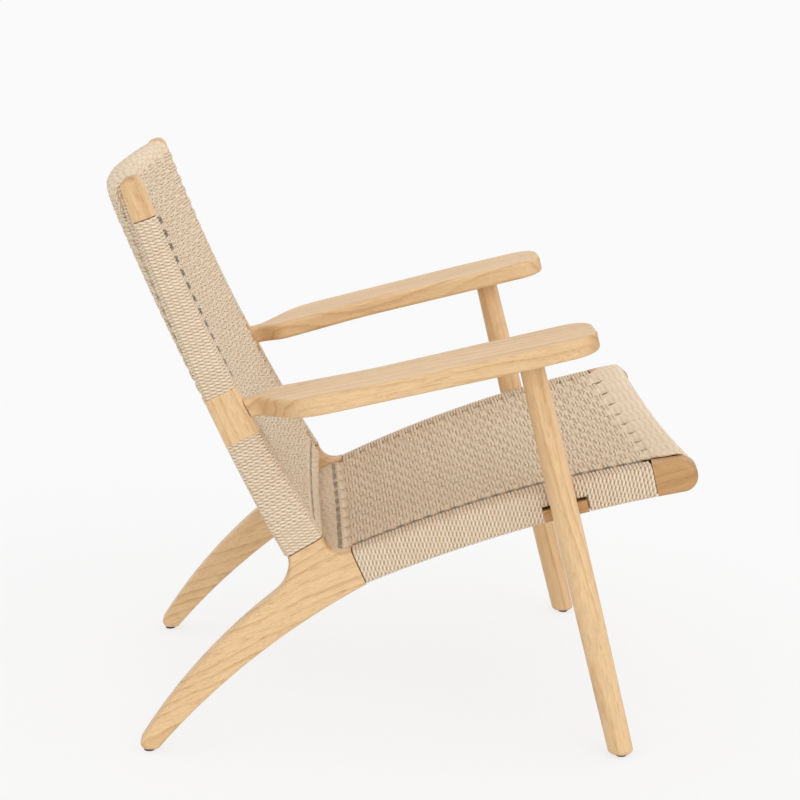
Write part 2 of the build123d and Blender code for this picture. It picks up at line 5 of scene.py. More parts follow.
import bpy
import numpy as np
from mathutils import Matrix, Vector


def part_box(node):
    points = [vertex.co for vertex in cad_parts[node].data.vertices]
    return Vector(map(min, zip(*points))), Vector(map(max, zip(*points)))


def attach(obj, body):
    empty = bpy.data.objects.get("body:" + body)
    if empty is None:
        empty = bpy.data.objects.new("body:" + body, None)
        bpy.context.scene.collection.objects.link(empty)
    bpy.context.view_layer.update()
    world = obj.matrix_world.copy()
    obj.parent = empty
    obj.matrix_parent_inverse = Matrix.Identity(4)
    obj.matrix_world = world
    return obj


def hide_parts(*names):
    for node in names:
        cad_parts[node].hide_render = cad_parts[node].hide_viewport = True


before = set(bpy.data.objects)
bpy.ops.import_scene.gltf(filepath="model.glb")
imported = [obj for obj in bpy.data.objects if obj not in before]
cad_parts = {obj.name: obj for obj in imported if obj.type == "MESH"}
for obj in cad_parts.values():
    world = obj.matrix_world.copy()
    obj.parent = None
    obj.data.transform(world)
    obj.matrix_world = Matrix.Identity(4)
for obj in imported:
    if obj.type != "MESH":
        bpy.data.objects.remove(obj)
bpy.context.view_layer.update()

bl_info = {
    "name": "Woven cord easy chair",
    "version": (1, 0, 0),
    "blender": (4, 5, 0),
    "location": "View3D > Sidebar > Chair",
    "description": "Finishes the wood of an easy chair, weaves its seat and back and sets a studio stage",
    "category": "Object",
}

BODY = "root"

# Sizes of the frame that the cord follows, in metres
BOARD = 0.030
OUTER_X = 0.257
INNER_X = OUTER_X - BOARD
WRAP = 0.0047
WRAP_CORNER = 0.009
WEAVE = 0.0087
CROSS_CORNER = 0.015

KNEE_Y = 0.04078
KNEE_HEIGHT = 0.2165
RAIL_SLOPE = radians(23.9)
RAIL_RADIUS = 1.897
RAIL_LENGTH = 0.4295
RAIL_HEIGHT = 0.047
RAIL_TAPER = 0.0065
WRAPPED_RAIL = 0.3775
SEAT_WIDTHS = (0.514, 0.607)
SPLAY = asin((SEAT_WIDTHS[1] - SEAT_WIDTHS[0]) / 2 / RAIL_LENGTH)
SEAT_REAR = -0.011
SEAT_FRONT = 0.3875
SEAT_RAIL_DEPTH = 0.038
SEAT_DISH = (0.003, 0.009, 0.008)
SLOT_MIDDLE = 0.2635
SLOT_LENGTH = 0.056
SLOT_TOP = 0.0255

POST_FOOT_Y = KNEE_Y + 0.0769
POST_FOOT_Z = KNEE_HEIGHT + 0.0488
POST_RAKE = radians(30)
POST_RADIUS = 2.4
POST_LENGTH = 0.503
POST_FOOT_WIDTH = 0.055
POST_TIP_WIDTH = 0.0265
POST_WRAP_END = 0.451
ARM_BAND = (0.1575, 0.2195)
BACK_BOTTOM = 0.015
BACK_TOP = 0.461
BACK_DEPTH = (0.046, 0.040)
BACK_SHIFT = (0.0, 0.005)
BACK_BOW = (0.003, 0.026)
BOTTOM_RAIL_HEIGHT = 0.036
TOP_RAIL_HEIGHT = 0.040

# The weave: wefts go across in pairs, over and under groups of warps
SEAT_GROUPS = 18
SEAT_GROUP_WARPS = 7
BACK_GROUPS = 17
BACK_GROUP_WARPS = 6
SEAT_WEFTS = (0.0010, 0.3760)
BACK_WEFTS = (0.0275, 0.4800)
BACK_FIELD_TOP = 0.4815
WARP_SWING = 0.0010
WEFT_SWING = 0.0032
WARP_FLATNESS = 1.35
WEFT_FLATNESS = 3.0
FRONT_CROWN = 0.005
CROWN_LENGTH = 0.040
NOTCH_LENGTH = 0.018
NOTCH_LEAD = 0.0125
SEAT_NOTCH = 0.27
BACK_NOTCH = 0.25
SEAT_RISE = 0.0005
BACK_RISE = 0.0022
FIELD_SQUEEZE = 0.24
FAN_LENGTH = 0.016
LEVEL_LENGTH = 0.008

# Rows of holes beside the rails and posts, where every second pair of wefts dives
SEAT_EDGE = 0.010
BACK_EDGE = 0.005
HIDDEN_EDGE = 0.0025
EDGE_FADE = 0.020
HOLE_MIDDLE = 0.55
HOLE_RIM = 0.0010
HOLE_DROP = 0.009
RIM_DROP = 0.0013
END_INSET = 0.003
END_OUTSET = 0.0022

# Points of a strand: on the wood, in the slot of a seat rail, inside a bare post and across a group
FLAT_SHARES = (0.25, 0.6)
WRAP_POINTS = (0.004, 0.011)
SLOT_CORNER = 0.003
SLOT_POINTS = ((0.012, 0), (0.002, 0), (-0.004, -0.008))
TURN_INSET = 0.0025
TURN_SHARES = (0.3, 0.7)
SEAT_TOP_POINTS = 6
SEAT_UNDER_POINTS = 3
BACK_FRONT_POINTS = 5
BACK_REAR_POINTS = 4
SEAT_STEP = 0.5
BACK_STEP = 0.65
STRIP_SLACK = 1.02
STRIP_MARGIN = 0.04

# Figure of the wood: how fast each mark changes along and across the grain, per metre, and its weight
DRIFT_SCALE = (2.0, 11, 11)
PATCH_SCALE = (5, 45, 45)
STREAK_SCALE = (7, 260, 260)
CLOUD_SCALE = (3, 14, 14)
PORE_SCALE = (45, 1500, 1500)
RING_DRIFT = 0.075
LATE_RISE = 4.0
LATE_FALL = 9.0
LATE_EASE = 0.2
PATCH_GAIN = (2.4, -0.7)
LATE_WEIGHT = 1.05
STREAK_WEIGHT = 0.35
CLOUD_WEIGHT = 0.6
TONE_SHIFT = -0.43
END_SHARPNESS = 3.0
END_WEIGHT = 0.75
DEEP_TONE = 0.35
PORE_LIMIT = 0.60
PORE_TONE = (0.25, 0.10)
PORE_DARKNESS = 0.55
WOOD_ROUGHENING = 0.16
FINE_ROUGHNESS = 0.6

# Place of the pith beside a board: along the grain, across it and out of its face
BOARD_PITH = (0.21, 0.085, 0.055)
PITH_SHIFT = 0.012
RAIL_PITH = (0, 0.09, 0.05)
DOWEL_PITH = (0, 0.04, 0.02)

# Paper cord: strength of the painted shade in the groove between the plies and depth of the groove's bump,
# and its fibres
WARP_GROOVE = (0.22, 0.10)
WEFT_GROOVE = (0.58, 0.22)
GROOVE_SHARPNESS = 2.4
GROOVE_SHADE_DARKNESS = 0.55
FIBRE_SCALE = 900.0
FIBRE_WEIGHT = 0.6
PAPER_ROUGHNESS = 0.72
PAPER_SHINE = 0.25

# Feet
GLIDE_COLOUR = (0.075, 0.068, 0.06)
GLIDE_ROUGHNESS = 0.6
PIN_COLOUR = (0.55, 0.55, 0.55)
PIN_ROUGHNESS = 0.35
SPECKLE_SCALE = 1200.0
SPECKLE_TONE = 0.75
SPECKLE_ROUGHENING = 0.2
SPECKLE_DEPTH = 0.00004

# Stage
FLOOR_REACH = 60.0
LAMP_FROM = (-1.0, -0.50, 0.60)
LAMP_ANGLE = radians(50)
CAMERA_PLACE = (-2.78166, 0.12710, 1.00705)
CAMERA_AIM = (0.97548, -0.04936, -0.21448)
SENSOR_WIDTH = 36.0


class WoodLook(bpy.types.PropertyGroup):
    """Finish of the wooden pieces."""

    pale: bpy.props.FloatVectorProperty(
        name="Early wood", description="Colour of the pale wood", subtype="COLOR", size=3,
        min=0, max=1, default=(0.80, 0.552, 0.300))
    dark: bpy.props.FloatVectorProperty(
        name="Late wood", description="Colour of the darker rings", subtype="COLOR", size=3,
        min=0, max=1, default=(0.52, 0.265, 0.088))
    ring: bpy.props.FloatProperty(
        name="Ring width", description="Distance from one year's ring to the next", unit="LENGTH",
        min=0.0005, default=0.0140)
    pore_depth: bpy.props.FloatProperty(
        name="Pore depth", description="Depth of the open pores in the surface", unit="LENGTH",
        min=0, default=0.00012)
    gloss: bpy.props.FloatProperty(
        name="Roughness", description="Roughness of the oiled surface", min=0, max=1, default=0.42)


class CordLook(bpy.types.PropertyGroup):
    """Size and finish of the paper cord."""

    diameter: bpy.props.FloatProperty(
        name="Diameter", description="Diameter of one strand", unit="LENGTH", min=0.001, default=0.0053)
    pitch: bpy.props.FloatProperty(
        name="Pitch", description="Distance between wefts", unit="LENGTH", min=0.001, default=0.00435)
    lay: bpy.props.FloatProperty(
        name="Lay", description="Length of one full turn of the two plies", unit="LENGTH", min=0.002,
        default=0.0078)
    sides: bpy.props.IntProperty(
        name="Sides", description="Sides of a strand's section", min=3, max=12, default=5)
    seed: bpy.props.IntProperty(
        name="Seed", description="Seed of the strands' differences in tone", default=7)
    pale: bpy.props.FloatVectorProperty(
        name="Pale", description="Colour of the palest strands", subtype="COLOR", size=3,
        min=0, max=1, default=(0.90, 0.765, 0.60))
    tan: bpy.props.FloatVectorProperty(
        name="Tan", description="Colour of the darkest strands", subtype="COLOR", size=3,
        min=0, max=1, default=(0.78, 0.61, 0.425))


class StageLook(bpy.types.PropertyGroup):
    """Floor, light and camera."""

    floor: bpy.props.FloatVectorProperty(
        name="Floor", description="Colour of the floor", subtype="COLOR", size=3,
        min=0, max=1, default=(0.93, 0.93, 0.93))
    seen: bpy.props.FloatVectorProperty(
        name="Backdrop", description="Colour of the floor as the camera sees it", subtype="COLOR", size=3,
        min=0, max=1, default=(0.955, 0.955, 0.955))
    shadow: bpy.props.FloatProperty(
        name="Shadow", description="How much of the chair's shadow shows on the floor", min=0, max=1,
        default=0.22)
    sky: bpy.props.FloatProperty(
        name="Sky", description="Level of the light from all round", min=0, default=0.92)
    lamp: bpy.props.FloatProperty(
        name="Lamp", description="Level of the large soft lamp", min=0, default=0.70)
    lens: bpy.props.FloatProperty(
        name="Lens", description="Focal length of the camera", unit="CAMERA", min=1, default=95.55)


# Places on the frame
def rail_angle(along):
    return RAIL_SLOPE - along / RAIL_RADIUS


def rail_place(along, up):
    """Back and height of a place on a seat rail: along it from the knee, and up from its underside."""
    turn = rail_angle(along)
    reach = RAIL_RADIUS + up
    y = KNEE_Y - RAIL_RADIUS * sin(RAIL_SLOPE) + reach * np.sin(turn)
    z = KNEE_HEIGHT - RAIL_RADIUS * cos(RAIL_SLOPE) + reach * np.cos(turn)
    return y, z


def rail_height(along):
    share = along / RAIL_LENGTH
    return RAIL_HEIGHT - RAIL_TAPER * share * np.abs(share)


def seat_half(along):
    """Half the clear width between the splayed seat rails."""
    y = rail_place(along, 0)[0]
    return OUTER_X - BOARD / cos(SPLAY) + (KNEE_Y - y) * tan(SPLAY)


def seat_dish(along):
    """How far the middle of the seat hangs: a smooth curve through rear, middle and front."""
    share = (along - SEAT_REAR) / (SEAT_FRONT - SEAT_REAR)
    rear, middle, front = SEAT_DISH
    return (rear * (1 - share) * (1 - 2 * share) + 4 * middle * share * (1 - share)
            + front * share * (2 * share - 1))


def seat_hang(x, along):
    return -seat_dish(along) * (1 - (x / seat_half(along)) ** 2)


def post_angle(along):
    return POST_RAKE - along / POST_RADIUS


def post_place(along, back):
    """Back and height of a place on a post: along it from its foot, and back from its centre line."""
    lean = post_angle(along)
    y = POST_FOOT_Y + POST_RADIUS * (np.cos(lean) - cos(POST_RAKE)) + back * np.cos(lean)
    z = POST_FOOT_Z + POST_RADIUS * (sin(POST_RAKE) - np.sin(lean)) - back * np.sin(lean)
    return y, z


def post_half(along):
    return (POST_FOOT_WIDTH + (POST_TIP_WIDTH - POST_FOOT_WIDTH) * along / POST_LENGTH) / 2


def up_the_back(pair, along):
    """A size of the back that changes evenly from its bottom to its top."""
    share = np.minimum((along - BACK_BOTTOM) / (BACK_TOP - BACK_BOTTOM), 1)
    return pair[0] + (pair[1] - pair[0]) * share


def back_bow(x, along):
    return up_the_back(BACK_BOW, along) * (1 - (x / INNER_X) ** 2)


# Small curves
def smooth(share):
    share = np.clip(share, 0, 1)
    return share * share * (3 - 2 * share)


def flat_wave(turns, steep):
    """A wave with flat tops, 1 at whole turns and -1 between them."""
    return np.clip(steep * np.cos(2 * pi * turns), -1, 1)


def corner(middle, radius, start, end, count=4):
    """Points of an arc, from one angle in degrees to another."""
    angles = np.radians(np.linspace(start, end, count))
    return np.column_stack([middle[0] + radius * np.cos(angles), middle[1] + radius * np.sin(angles)])


def round_bar(growth, low, high, inset):
    """Way of a strand over a rounded rail, from its upper face round two far edges to its lower face."""
    radius = CROSS_CORNER - inset
    near = growth - CROSS_CORNER
    return np.vstack([
        [(near * share, high - inset) for share in FLAT_SHARES],
        corner((near, high - CROSS_CORNER), radius, 90, 0),
        corner((near, low + CROSS_CORNER), radius, 0, -90),
        [(near * share, low + inset) for share in FLAT_SHARES[::-1]],
    ])


# The two weaves
def warp_shares(groups, group_warps):
    """Each warp's group, and its places across from -1 to 1: even, in its group and in its bundle."""
    numbers = np.arange(groups * group_warps)
    group = numbers // group_warps
    even = -1 + (2 * numbers + 1) / len(numbers)
    middle = -1 + (2 * group + 1) / groups
    bundle = np.minimum(-1 + (4 * (group // 2) + 2) / groups, 1 - 1 / groups)
    return list(zip(group, zip(even, middle, bundle)))


def warp_across(warp, half, inside, edge, squeeze):
    """Place across of a warp: even on the rail, bundled at the first weft, then with its group."""
    even, middle, bundle = warp
    onto = smooth(1 + (inside - NOTCH_LEAD) / NOTCH_LENGTH)
    ease = smooth((inside - NOTCH_LEAD) / FAN_LENGTH)
    notch = (bundle - even) * squeeze * onto * (1 - ease)
    field = (middle - even) * FIELD_SQUEEZE * ease
    return (even + notch + field) * (half - edge * onto)


def weft_stations(reach, pitch):
    """Stations of the wefts, each with the number of its pair."""
    pairs = int((reach[1] - reach[0]) / (2 * pitch))
    return [(reach[0] + (number + 0.5) * pitch, number // 2) for number in range(2 * pairs)]


def warp_swing(along, reach, group, cord):
    """How far a warp stands out from the middle of the weave: over one pair of wefts, under the next."""
    turns = (along - reach[0] - cord.pitch) / (4 * cord.pitch) + group / 2
    last = weft_stations(reach, cord.pitch)[-1][0]
    fade = smooth((along - reach[0]) / LEVEL_LENGTH + 1) * smooth((last - along) / LEVEL_LENGTH + 1)
    return fade * flat_wave(turns, WARP_FLATNESS) * WARP_SWING


def weft_swing(share, pair, groups, hole):
    """How far a weft stands out from the middle of the weave; a low one dives into the hole at each edge."""
    held = np.clip(share, 0.5 / groups - 1, 1 - 0.5 / groups)
    turns = ((held + 1) * groups / 2 - 0.5) / 2 + pair / 2
    swing = -flat_wave(turns, WEFT_FLATNESS) * WEFT_SWING
    if not hole:
        swing[[0, 1, -2, -1]] = 0
        return swing
    swing[[1, -2]] -= hole * (swing[[1, -2]] < 0)
    swing[[0, -1]] = np.maximum(swing[[0, -1]], -RIM_DROP)
    return swing


def field_inset(inside, rise):
    """Depth of the weave's middle under the face of the frame; on the rails a warp lies on the wood."""
    return WRAP / 2 + (WEAVE / 2 - rise - WRAP / 2) * smooth(inside / LEVEL_LENGTH)


def weft_across(half, samples, edge):
    """Places of a weft's points across the field, and their shares; two at each end lie in the edge hole."""
    inner = half - edge
    hole = np.array([half - HOLE_MIDDLE * edge, half - HOLE_RIM])
    x = np.concatenate([-hole[::-1], np.linspace(-inner, inner, samples), hole])
    return x, x / inner


def edge_width(along, wrap_end, edge):
    """Width of the row of holes beside a rail or post, which closes towards its bare end."""
    return HIDDEN_EDGE + (edge - HIDDEN_EDGE) * smooth((wrap_end - along) / EDGE_FADE)


def seat_crown(even, along):
    """Lift of the cord beside the rails where it goes over the front rail."""
    return FRONT_CROWN * even ** 2 * smooth((along - SEAT_FRONT) / CROWN_LENGTH + 1)


def seat_warps(cord, group_rest):
    """Closed ways of the seat's warps whose group is even or odd."""
    upper = np.arange(SEAT_REAR, SEAT_FRONT, cord.pitch * SEAT_STEP)
    lower = np.arange(SEAT_FRONT, SEAT_REAR, -cord.pitch)
    front = round_bar(SEAT_RAIL_DEPTH, 0, rail_height(SEAT_FRONT), WRAP / 2)
    rear = round_bar(SEAT_RAIL_DEPTH, 0, rail_height(SEAT_REAR), WRAP / 2)[::-1]
    ways = []
    for group, warp in warp_shares(SEAT_GROUPS, SEAT_GROUP_WARPS):
        if group % 2 != group_rest:
            continue
        even = warp[0]
        pieces = []
        for along, face, rise in ((upper, 1, SEAT_RISE), (lower, -1, 0)):
            inside = np.minimum(along - SEAT_REAR, SEAT_FRONT - along)
            depth = field_inset(inside, rise) - warp_swing(along, SEAT_WEFTS, group, cord)
            edge = edge_width(along, WRAPPED_RAIL, SEAT_EDGE) if face > 0 else HIDDEN_EDGE
            x = warp_across(warp, seat_half(along), inside, edge, SEAT_NOTCH)
            level = rail_height(along) - depth + seat_crown(even, along) if face > 0 else depth
            y, z = rail_place(along, level + seat_hang(x, along))
            pieces.append(np.column_stack([x, y, z]))
        for bar, along, way in ((front, SEAT_FRONT, 1), (rear, SEAT_REAR, -1)):
            turn = rail_angle(along)
            reach = way * bar[:, 0]
            upper_edge = edge_width(along, WRAPPED_RAIL, SEAT_EDGE)
            edge = np.where(bar[:, 1] > rail_height(along) / 2, upper_edge, HIDDEN_EDGE)
            x = warp_across(warp, seat_half(along + reach), -bar[:, 0], edge, SEAT_NOTCH)
            hang = seat_hang(even * seat_half(along), along)
            crown = seat_crown(even, along) * smooth(bar[:, 1] / rail_height(along))
            y, z = rail_place(along, bar[:, 1] + hang + crown)
            pieces.append(np.column_stack([x, y - reach * cos(turn), z + reach * sin(turn)]))
        ways.append(np.vstack([pieces[0], pieces[2], pieces[1], pieces[3]]))
    return ways


def rail_round(half, height, slotted):
    """Way of a weft round a seat rail, from the top field to the bottom field, as x and height."""
    inset = WRAP / 2
    outer = half + BOARD / cos(SPLAY)
    radius = WRAP_CORNER - inset
    top = np.vstack([
        [(half + step, height - inset) for step in WRAP_POINTS],
        corner((outer - WRAP_CORNER, height - WRAP_CORNER), radius, 90, 0),
    ])
    if slotted:
        low = SLOT_TOP - inset
        return np.vstack([
            top,
            corner((outer - inset - SLOT_CORNER, low + SLOT_CORNER), SLOT_CORNER, 0, -90),
            [(half + step, low + rise) for step, rise in SLOT_POINTS],
        ])
    return np.vstack([
        top,
        [(outer - inset, height / 2)],
        corner((outer - WRAP_CORNER, WRAP_CORNER), radius, 0, -90),
        [(half + step, inset) for step in WRAP_POINTS[::-1]],
    ])


def seat_wefts(cord):
    """Closed ways of the seat's wefts: over the top, round one rail, under the seat and round the other."""
    ways = []
    for along, pair in weft_stations(SEAT_WEFTS, cord.pitch):
        half, height = seat_half(along), rail_height(along)
        side = rail_round(half, height, abs(along - SLOT_MIDDLE) < SLOT_LENGTH / 2)
        edge = edge_width(along, WRAPPED_RAIL, SEAT_EDGE)
        x, share = weft_across(half, SEAT_TOP_POINTS * SEAT_GROUPS, edge)
        level = height - WEAVE / 2 + SEAT_RISE
        top = level + weft_swing(share, pair, SEAT_GROUPS, HOLE_DROP) + seat_hang(x, along)
        back_x, back_share = weft_across(half, SEAT_UNDER_POINTS * SEAT_GROUPS, HIDDEN_EDGE)
        low = WEAVE / 2 - weft_swing(back_share, pair, SEAT_GROUPS, 0) + seat_hang(back_x, along)
        flat = np.vstack([
            np.column_stack([x, top]),
            side,
            np.column_stack([back_x, low])[::-1],
            side[::-1] * (-1, 1),
        ])
        y, z = rail_place(along, flat[:, 1])
        ways.append(np.column_stack([flat[:, 0], y, z]))
    return ways


def back_faces(x, along):
    """Front and rear face of the woven back, as back from the posts' centre line."""
    middle = up_the_back(BACK_SHIFT, along) + back_bow(x, along)
    half = up_the_back(BACK_DEPTH, along) / 2
    return middle - half, middle + half


def back_warps(cord, group_rest):
    """Closed ways of the back's warps whose group is even or odd."""
    stations = np.arange(BACK_BOTTOM, BACK_FIELD_TOP, cord.pitch * BACK_STEP)
    ways = []
    for group, warp in warp_shares(BACK_GROUPS, BACK_GROUP_WARPS):
        if group % 2 != group_rest:
            continue
        pieces = []
        for along, face, rise in ((stations, 1, BACK_RISE), (stations[::-1], -1, 0)):
            inside = np.minimum(along - BACK_BOTTOM, BACK_FIELD_TOP + NOTCH_LEAD - along)
            edge = edge_width(along, POST_WRAP_END, BACK_EDGE) if face > 0 else HIDDEN_EDGE
            x = warp_across(warp, INNER_X, inside, edge, BACK_NOTCH)
            depth = field_inset(inside, rise) - warp_swing(along, BACK_WEFTS, group, cord)
            front, rear = back_faces(x, along)
            y, z = post_place(along, front + depth if face > 0 else rear - depth)
            pieces.append(np.column_stack([x, y, z]))
        for along, height, way in ((BACK_TOP, TOP_RAIL_HEIGHT, 1), (BACK_BOTTOM, BOTTOM_RAIL_HEIGHT, -1)):
            front, rear = back_faces(INNER_X * warp[0], along)
            bar = round_bar(height, -rear, -front, WRAP / 2)[::way]
            woven = BACK_FIELD_TOP - BACK_TOP if way > 0 else 0
            bar = bar[bar[:, 0] > woven]
            inside = woven - bar[:, 0] + (NOTCH_LEAD if way > 0 else 0)
            front_edge = edge_width(along, POST_WRAP_END, BACK_EDGE)
            edge = np.where(bar[:, 1] > -(front + rear) / 2, front_edge, HIDDEN_EDGE)
            x = warp_across(warp, INNER_X, inside, edge, BACK_NOTCH)
            lean = post_angle(along)
            y, z = post_place(along, -bar[:, 1])
            rise = way * bar[:, 0]
            pieces.append(np.column_stack([x, y + rise * sin(lean), z + rise * cos(lean)]))
        ways.append(np.vstack([pieces[0], pieces[2], pieces[1], pieces[3]]))
    return ways


def post_round(along):
    """Way of a weft round a post, from the front field to the rear field, as x and back."""
    inset = WRAP / 2
    radius = WRAP_CORNER - inset
    half = post_half(along)
    place = OUTER_X - WRAP_CORNER
    return np.vstack([
        [(INNER_X + step, inset - half) for step in WRAP_POINTS],
        corner((place, WRAP_CORNER - half), radius, -90, 0),
        corner((place, half - WRAP_CORNER), radius, 0, 90),
        [(INNER_X + step, half - inset) for step in WRAP_POINTS[::-1]],
    ])


def bare_post_turn(along, front, rear):
    """Way of a weft that turns back inside a bare post, and out again behind it where the back is deeper."""
    inside = INNER_X - TURN_INSET
    outside = INNER_X + END_OUTSET
    behind = post_half(along) + END_INSET
    start, end = (front + (rear - front) * share for share in TURN_SHARES)
    if rear - behind < END_INSET:
        return np.array([(inside, start), (inside, end)])
    return np.array([
        (inside, start),
        (inside, behind - END_INSET),
        (outside, behind),
        (outside, rear - END_INSET),
    ])


def roll_ends(cord):
    """Turns that close the two ends of the top roll, one inside the other."""
    front, rear = back_faces(INNER_X, BACK_TOP)
    lean = post_angle(BACK_TOP)
    ways = []
    for inset in np.arange(WRAP / 2, CROSS_CORNER, cord.pitch):
        bar = round_bar(TOP_RAIL_HEIGHT, -rear, -front, inset)
        bar[:, 0] = np.minimum(bar[:, 0], TOP_RAIL_HEIGHT - inset)
        y, z = post_place(BACK_TOP, -bar[:, 1])
        for side in (1, -1):
            x = np.full(len(bar), side * (INNER_X + END_OUTSET / 2))
            ways.append(np.column_stack([x, y + bar[:, 0] * sin(lean), z + bar[:, 0] * cos(lean)]))
    return ways


def back_wefts(cord):
    """Closed ways of the back's wefts; beside an arm and at the top they turn back inside the bare post."""
    ways = []
    for along, pair in weft_stations(BACK_WEFTS, cord.pitch):
        edge = edge_width(along, POST_WRAP_END, BACK_EDGE)
        x, share = weft_across(INNER_X, BACK_FRONT_POINTS * BACK_GROUPS, edge)
        back_x, back_share = weft_across(INNER_X, BACK_REAR_POINTS * BACK_GROUPS, HIDDEN_EDGE)
        bare = ARM_BAND[0] < along < ARM_BAND[1] or along > POST_WRAP_END
        hole = 0 if bare else HOLE_DROP
        level = WEAVE / 2 - BACK_RISE
        front = back_faces(x, along)[0] + level - weft_swing(share, pair, BACK_GROUPS, hole)
        rear = back_faces(back_x, along)[1] - WEAVE / 2 + weft_swing(back_share, pair, BACK_GROUPS, 0)
        side = bare_post_turn(along, front[-1], rear[-1]) if bare else post_round(along)
        flat = np.vstack([
            np.column_stack([x, front]),
            side,
            np.column_stack([back_x, rear])[::-1],
            side[::-1] * (-1, 1),
        ])
        y, z = post_place(along, flat[:, 1])
        ways.append(np.column_stack([flat[:, 0], y, z]))
    return ways


def foot_wraps(cord):
    """Turns round the foot of each post, below the woven field."""
    ways = []
    for along in np.arange(BACK_WEFTS[0] - cord.pitch / 2, 0, -cord.pitch):
        flat = post_round(along)
        y, z = post_place(along, flat[:, 1])
        for side in (1, -1):
            ways.append(np.column_stack([side * flat[:, 0], y, z]))
    return ways


# Turning ways into strands
def link(tree, start, end):
    tree.links.new(start, end)


def math_node(tree, operation, *values):
    """A Math node; each value is a number or a socket."""
    node = tree.nodes.new("ShaderNodeMath")
    node.operation = operation
    for socket, value in zip(node.inputs, values):
        if isinstance(value, bpy.types.NodeSocket):
            link(tree, value, socket)
        else:
            socket.default_value = value
    return node.outputs[0]


def captured(tree, geometry, value, domain):
    """Keeps a field on a geometry; returns the geometry and the kept value."""
    node = tree.nodes.new("GeometryNodeCaptureAttribute")
    node.domain = domain
    node.capture_items.new("FLOAT", "Kept")
    link(tree, geometry, node.inputs["Geometry"])
    link(tree, value, node.inputs["Kept"])
    return node.outputs["Geometry"], node.outputs["Kept"]


def stored(tree, geometry, name, kind, value):
    node = tree.nodes.new("GeometryNodeStoreNamedAttribute")
    node.data_type = kind
    node.domain = "POINT"
    node.inputs["Name"].default_value = name
    link(tree, geometry, node.inputs["Geometry"])
    link(tree, value, node.inputs["Value"])
    return node.outputs["Geometry"]


def strand_tree():
    """Geometry nodes that lay a round strand along every spline and note each point's place on it."""
    tree = bpy.data.node_groups.new("strand", "GeometryNodeTree")
    face = tree.interface
    face.new_socket("Ways", in_out="INPUT", socket_type="NodeSocketGeometry")
    face.new_socket("Diameter", in_out="INPUT", socket_type="NodeSocketFloat")
    face.new_socket("Sides", in_out="INPUT", socket_type="NodeSocketInt")
    face.new_socket("Seed", in_out="INPUT", socket_type="NodeSocketInt")
    face.new_socket("Material", in_out="INPUT", socket_type="NodeSocketMaterial")
    face.new_socket("Strands", in_out="OUTPUT", socket_type="NodeSocketGeometry")
    given = tree.nodes.new("NodeGroupInput").outputs
    on_way = tree.nodes.new("GeometryNodeSplineParameter").outputs
    index = tree.nodes.new("GeometryNodeInputIndex").outputs[0]
    chance = tree.nodes.new("FunctionNodeRandomValue")
    chance.data_type = "FLOAT"
    link(tree, given["Seed"], chance.inputs["Seed"])
    ways, length = captured(tree, given["Ways"], on_way["Length"], "POINT")
    ways, row = captured(tree, ways, index, "CURVE")
    ways, tone = captured(tree, ways, chance.outputs[1], "CURVE")
    circle = tree.nodes.new("GeometryNodeCurvePrimitiveCircle")
    link(tree, given["Sides"], circle.inputs["Resolution"])
    link(tree, math_node(tree, "MULTIPLY", given["Diameter"], 0.5), circle.inputs["Radius"])
    profile, around = captured(tree, circle.outputs["Curve"], on_way["Factor"], "POINT")
    sweep = tree.nodes.new("GeometryNodeCurveToMesh")
    link(tree, ways, sweep.inputs["Curve"])
    link(tree, profile, sweep.inputs["Profile Curve"])
    angle = math_node(tree, "MULTIPLY", around, 2 * pi)
    place = tree.nodes.new("ShaderNodeCombineXYZ")
    link(tree, math_node(tree, "COSINE", angle), place.inputs[0])
    link(tree, math_node(tree, "SINE", angle), place.inputs[1])
    link(tree, length, place.inputs[2])
    mesh = stored(tree, sweep.outputs["Mesh"], "strand_place", "FLOAT_VECTOR", place.outputs[0])
    mesh = stored(tree, mesh, "strand_row", "FLOAT", row)
    mesh = stored(tree, mesh, "strand_tone", "FLOAT", tone)
    shade = tree.nodes.new("GeometryNodeSetShadeSmooth")
    realize = tree.nodes.new("GeometryNodeRealizeInstances")
    paint = tree.nodes.new("GeometryNodeSetMaterial")
    link(tree, mesh, shade.inputs["Geometry"])
    link(tree, shade.outputs["Geometry"], realize.inputs["Geometry"])
    link(tree, realize.outputs["Geometry"], paint.inputs["Geometry"])
    link(tree, given["Material"], paint.inputs["Material"])
    link(tree, paint.outputs["Geometry"], tree.nodes.new("NodeGroupOutput").inputs[0])
    return tree


def ways_curve(name, ways):
    """A curve object with one closed spline for each way."""
    curve = bpy.data.curves.new(name, "CURVE")
    curve.dimensions = "3D"
    for way in ways:
        spline = curve.splines.new("POLY")
        spline.points.add(len(way) - 1)
        spline.points.foreach_set("co", np.column_stack([way, np.ones(len(way))]).ravel())
        spline.use_cyclic_u = True
    return bpy.data.objects.new(name, curve)


def read_attribute(mesh, name, width):
    values = np.zeros(len(mesh.vertices) * width, np.float32)
    mesh.attributes[name].data.foreach_get("vector" if width == 3 else "value", values)
    return values.reshape(-1, width)


def strip_map(mesh):
    """A UV map with one row for each strand, its length from left to right."""
    place = read_attribute(mesh, "strand_place", 3)
    row = read_attribute(mesh, "strand_row", 1)[:, 0]
    around = np.arctan2(place[:, 1], place[:, 0]) / (2 * pi) % 1
    corners = np.zeros(len(mesh.loops), np.int32)
    mesh.loops.foreach_get("vertex_index", corners)
    corners = corners.reshape(-1, 4)
    longest = place[:, 2].max()
    u, v = place[corners, 2], around[corners]
    u = u + longest * (u.max(1, keepdims=True) - u > longest / 2)
    v = v + (v.max(1, keepdims=True) - v > 0.5)
    room = longest * STRIP_SLACK
    u = np.minimum(u, room) / room
    v = (row[corners] + STRIP_MARGIN + (1 - 2 * STRIP_MARGIN) * v) / (row.max() + 1)
    layer = mesh.uv_layers.new(name="OFBake")
    layer.data.foreach_set("uv", np.stack([u, v], 2).astype(np.float32).ravel())


